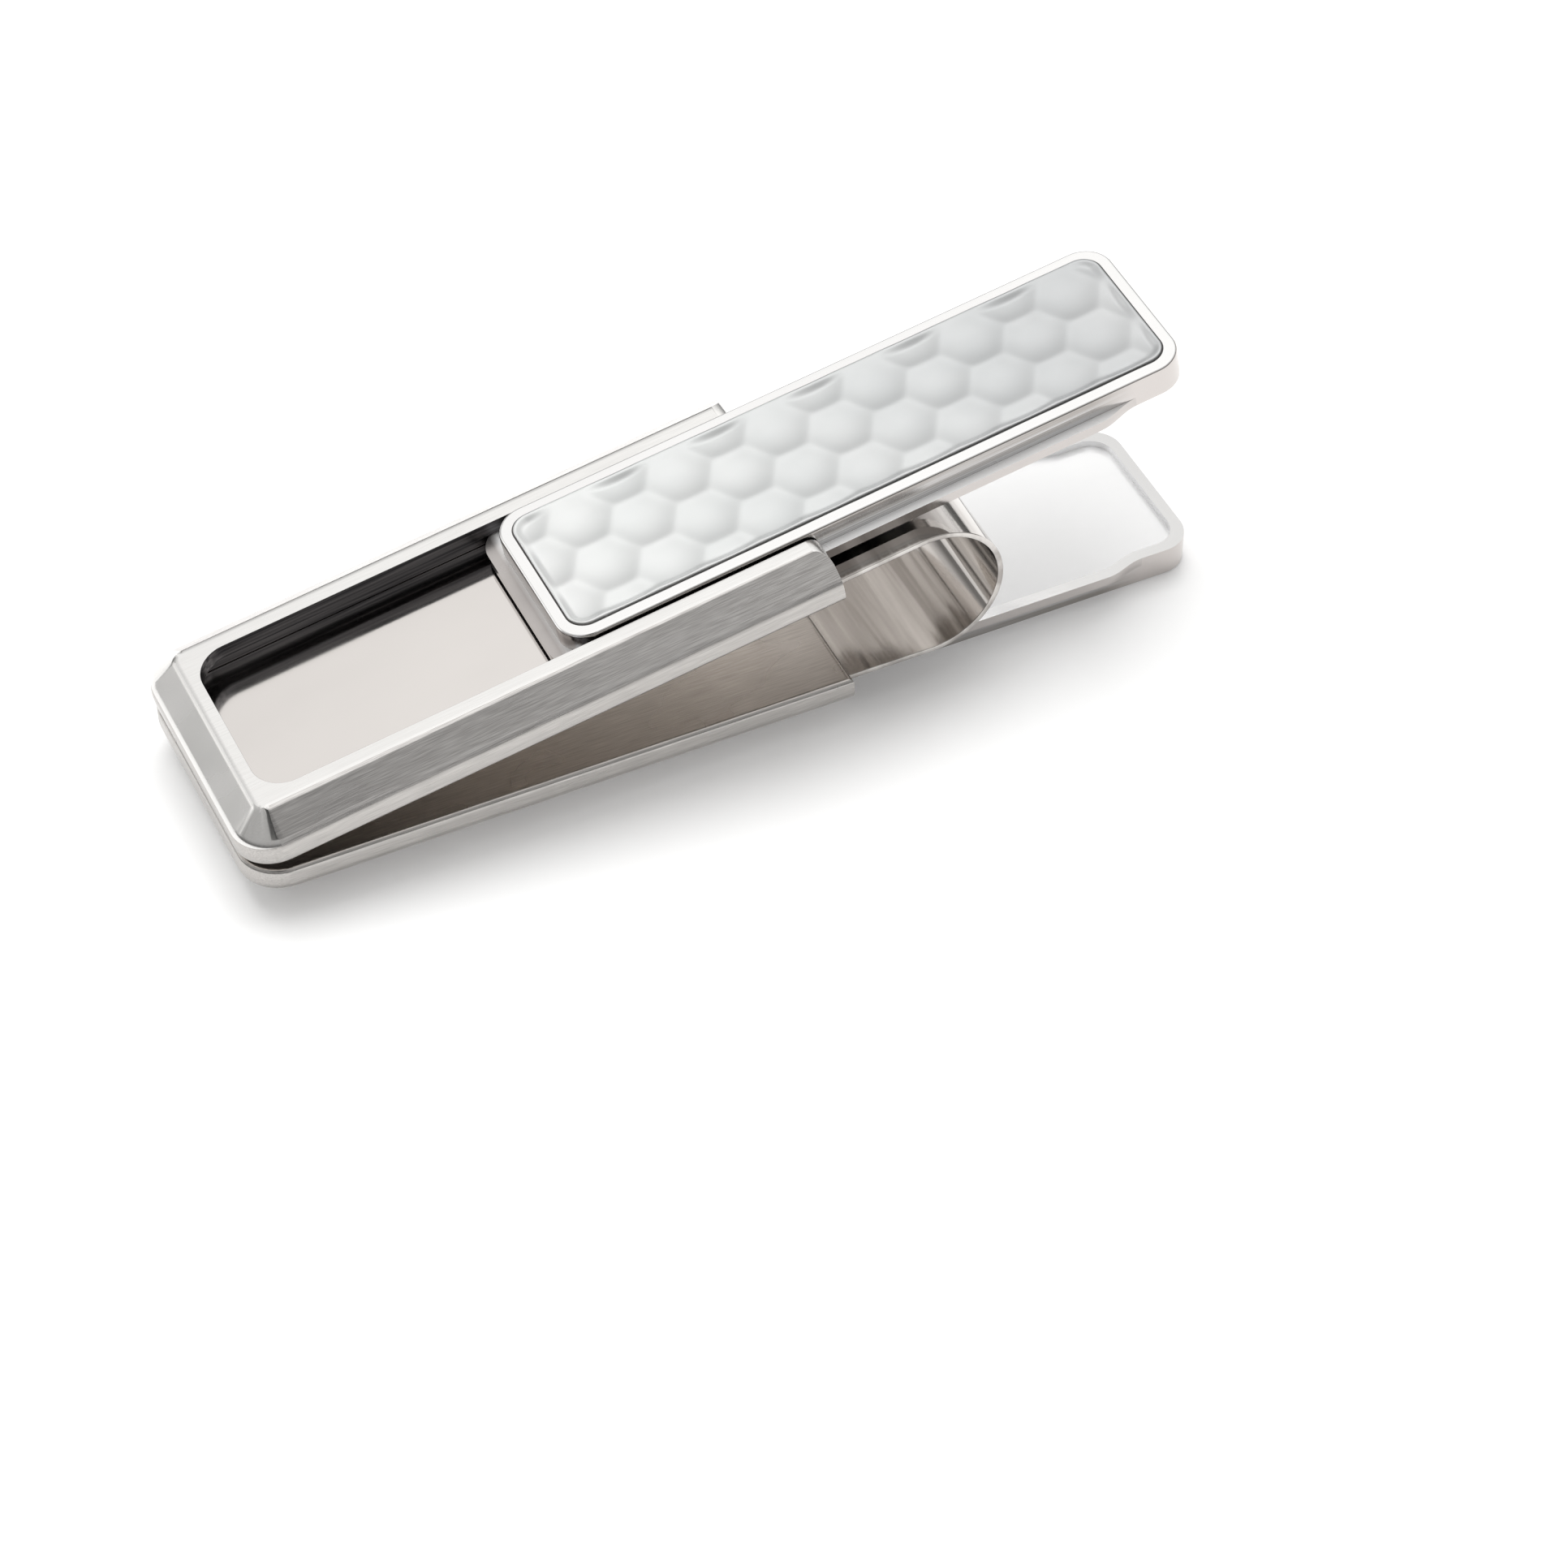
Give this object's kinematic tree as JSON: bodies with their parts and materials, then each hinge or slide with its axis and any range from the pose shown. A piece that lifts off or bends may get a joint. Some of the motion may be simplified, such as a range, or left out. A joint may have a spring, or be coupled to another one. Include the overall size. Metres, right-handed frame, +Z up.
{
  "type": "sliding-arm money clip",
  "caption": "Spring money clip with two channel jaws, sliding polished lever arms and a dimpled pale inlay, arms slid out",
  "frame": {"origin": "centre of the overall box at rest, on the plane of the lower arm's outer face", "axes": "+X from the jaw tips towards the arms' free ends, +Y across the clip, +Z up from the lower arm to the upper one"},
  "size_m": [0.0786, 0.022, 0.0219],
  "materials": {
    "satin_steel": "brushed along the jaw, satin rim",
    "spring_steel": "polished",
    "rivet_steel": "satin",
    "polished_steel": "mirror polished",
    "plain_plate": "satin",
    "glue": "dark amber resin",
    "dimpled_inlay": "pearly satin with shallow dimples"
  },
  "bodies": {
    "lower_jaw": {"lower_frame": "satin_steel", "spring_band": "spring_steel", "lower_leg_rivets": "rivet_steel", "lower_stop_stud": "rivet_steel"},
    "lower_arm": {"lower_slide": "polished_steel", "lower_plate": "plain_plate", "lower_plate_bond": "glue", "lower_drag_springs": "rivet_steel"},
    "upper_jaw": {"upper_frame": "satin_steel", "upper_leg_rivets": "rivet_steel", "upper_stop_stud": "rivet_steel"},
    "upper_arm": {"upper_slide": "polished_steel", "upper_inlay": "dimpled_inlay", "upper_inlay_bond": "glue", "upper_drag_springs": "rivet_steel"}
  },
  "joints": [
    {"name": "lower_arm_slide", "type": "slide", "parent": "lower_jaw", "child": "lower_arm", "axis": [1, 0, 0], "range_m": [-0.0239, 0]},
    {"name": "upper_arm_slide", "type": "slide", "parent": "upper_jaw", "child": "upper_arm", "axis": [0.9854, 0, 0.1702], "range_m": [-0.0239, 0]},
    {"name": "jaw_spring", "type": "hinge", "parent": "lower_jaw", "child": "upper_jaw", "pos_m": [0.01807, 0, 0.00895], "axis": [0, 1, 0], "range_deg": [0, 12], "stiffness_Nm_per_rad": 0.6, "springref_deg": -5.73, "deforming": ["spring_band"]}
  ]
}
